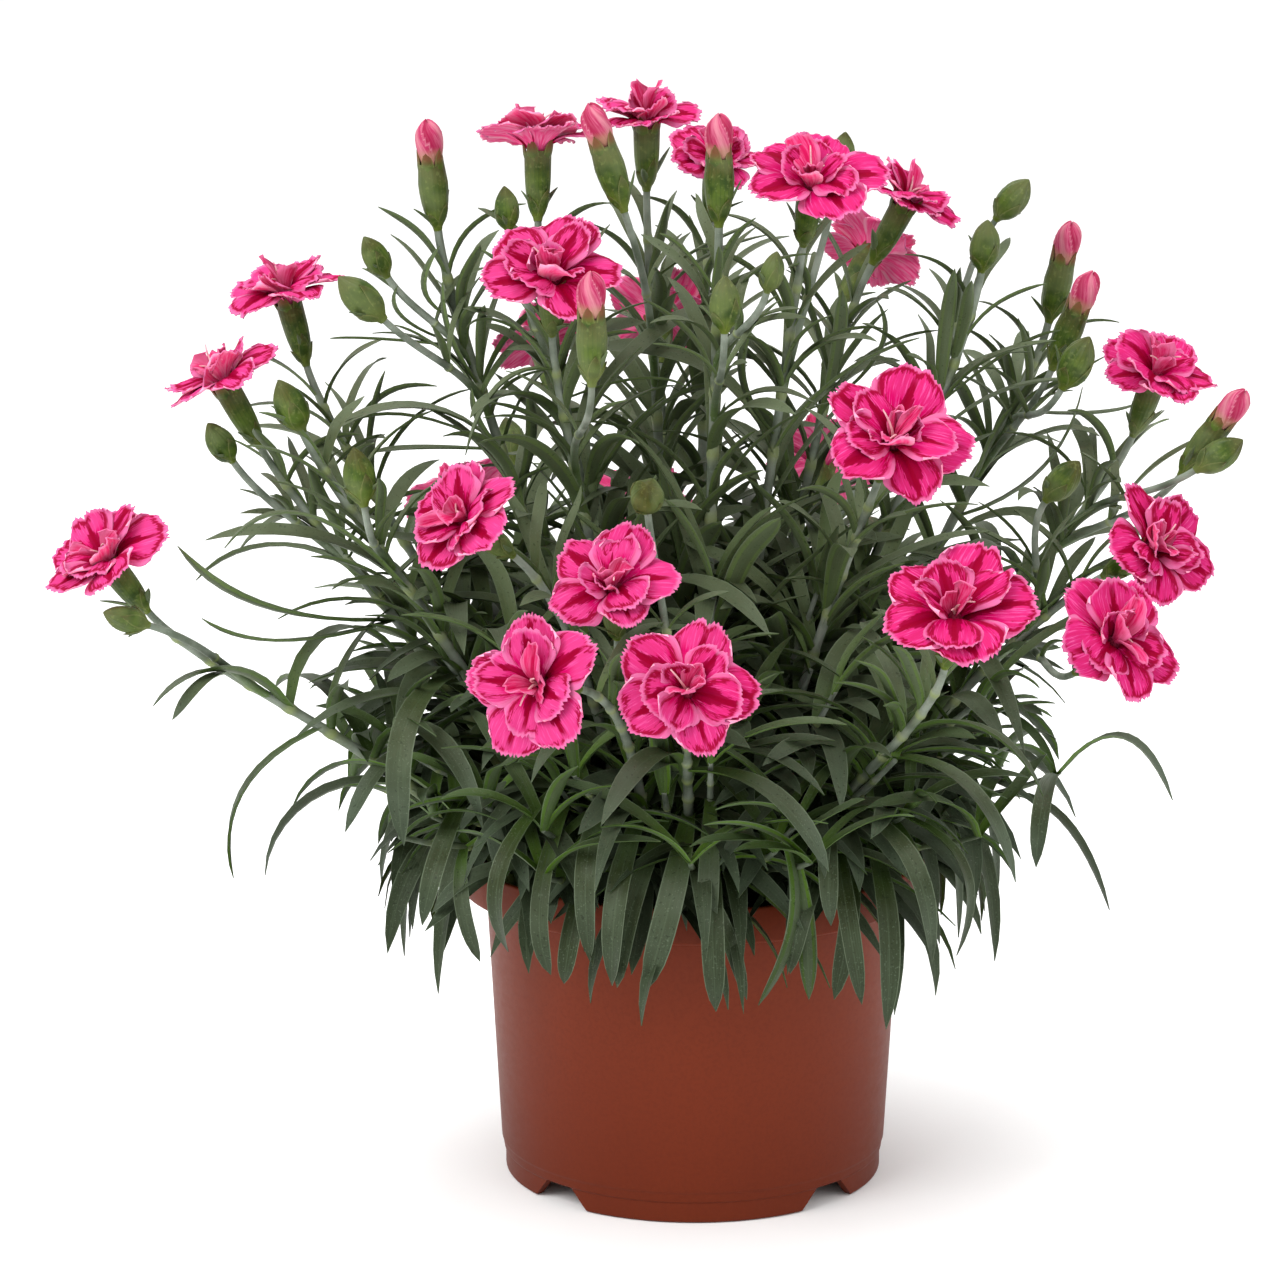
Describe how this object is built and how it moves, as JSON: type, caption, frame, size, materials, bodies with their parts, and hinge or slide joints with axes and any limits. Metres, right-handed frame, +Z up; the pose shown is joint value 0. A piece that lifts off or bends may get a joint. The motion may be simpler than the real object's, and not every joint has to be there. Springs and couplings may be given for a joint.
{
  "type": "potted flowering plant",
  "caption": "Bushy dianthus with narrow arching leaves and fringed double blooms on fanned stems, growing in a round grower's pot with notched feet.",
  "frame": {"origin": "on the ground, under the middle of the plant's spread; the pot's axis stands 12 mm towards +X from it", "axes": "+Z up, -Y towards the side that is seen in front, +X to its right"},
  "size_m": [0.3206, 0.2771, 0.3043],
  "materials": {
    "pot": "satin moulded terracotta-coloured plastic",
    "soil": "loose dark peat",
    "foliage": "dull waxy grey-green leaf and stem, pale at the joints",
    "petals": "soft velvety petal, hot pink with a pale fringed edge and a crimson throat",
    "bud_petals": "rolled pale pink petal"
  },
  "bodies": {
    "root": {"bloom_01": "petals", "bloom_02": "petals", "bloom_03": "petals", "bloom_04": "petals", "bloom_05": "petals", "bloom_06": "petals", "bloom_07": "petals", "bloom_08": "petals", "bloom_09": "petals", "bloom_10": "petals", "bloom_11": "petals", "bloom_12": "petals", "bloom_13": "petals", "bloom_14": "petals", "bloom_15": "petals", "bloom_16": "petals", "bloom_17": "petals", "bloom_18": "petals", "bloom_19": "petals", "bloom_20": "petals", "bloom_21": "petals", "bloom_22": "petals", "bloom_23": "petals", "bloom_24": "petals", "bloom_25": "petals", "bud_tip_01": "bud_petals", "bud_tip_02": "bud_petals", "bud_tip_03": "bud_petals", "bud_tip_04": "bud_petals", "bud_tip_05": "bud_petals", "bud_tip_06": "bud_petals", "bud_tip_07": "bud_petals", "leafy_stem_01": "foliage", "leafy_stem_02": "foliage", "leafy_stem_03": "foliage", "leafy_stem_04": "foliage", "leafy_stem_05": "foliage", "leafy_stem_06": "foliage", "leafy_stem_07": "foliage", "leafy_stem_08": "foliage", "leafy_stem_09": "foliage", "leafy_stem_10": "foliage", "leafy_stem_11": "foliage", "leafy_stem_12": "foliage", "leafy_stem_13": "foliage", "leafy_stem_14": "foliage", "leafy_stem_15": "foliage", "leafy_stem_16": "foliage", "leafy_stem_17": "foliage", "leafy_stem_18": "foliage", "leafy_stem_19": "foliage", "leafy_stem_20": "foliage", "leafy_stem_21": "foliage", "leafy_stem_22": "foliage", "leafy_stem_23": "foliage", "leafy_stem_24": "foliage", "leafy_stem_25": "foliage", "leafy_stem_26": "foliage", "pot": "pot", "soil": "soil"}
  },
  "joints": []
}
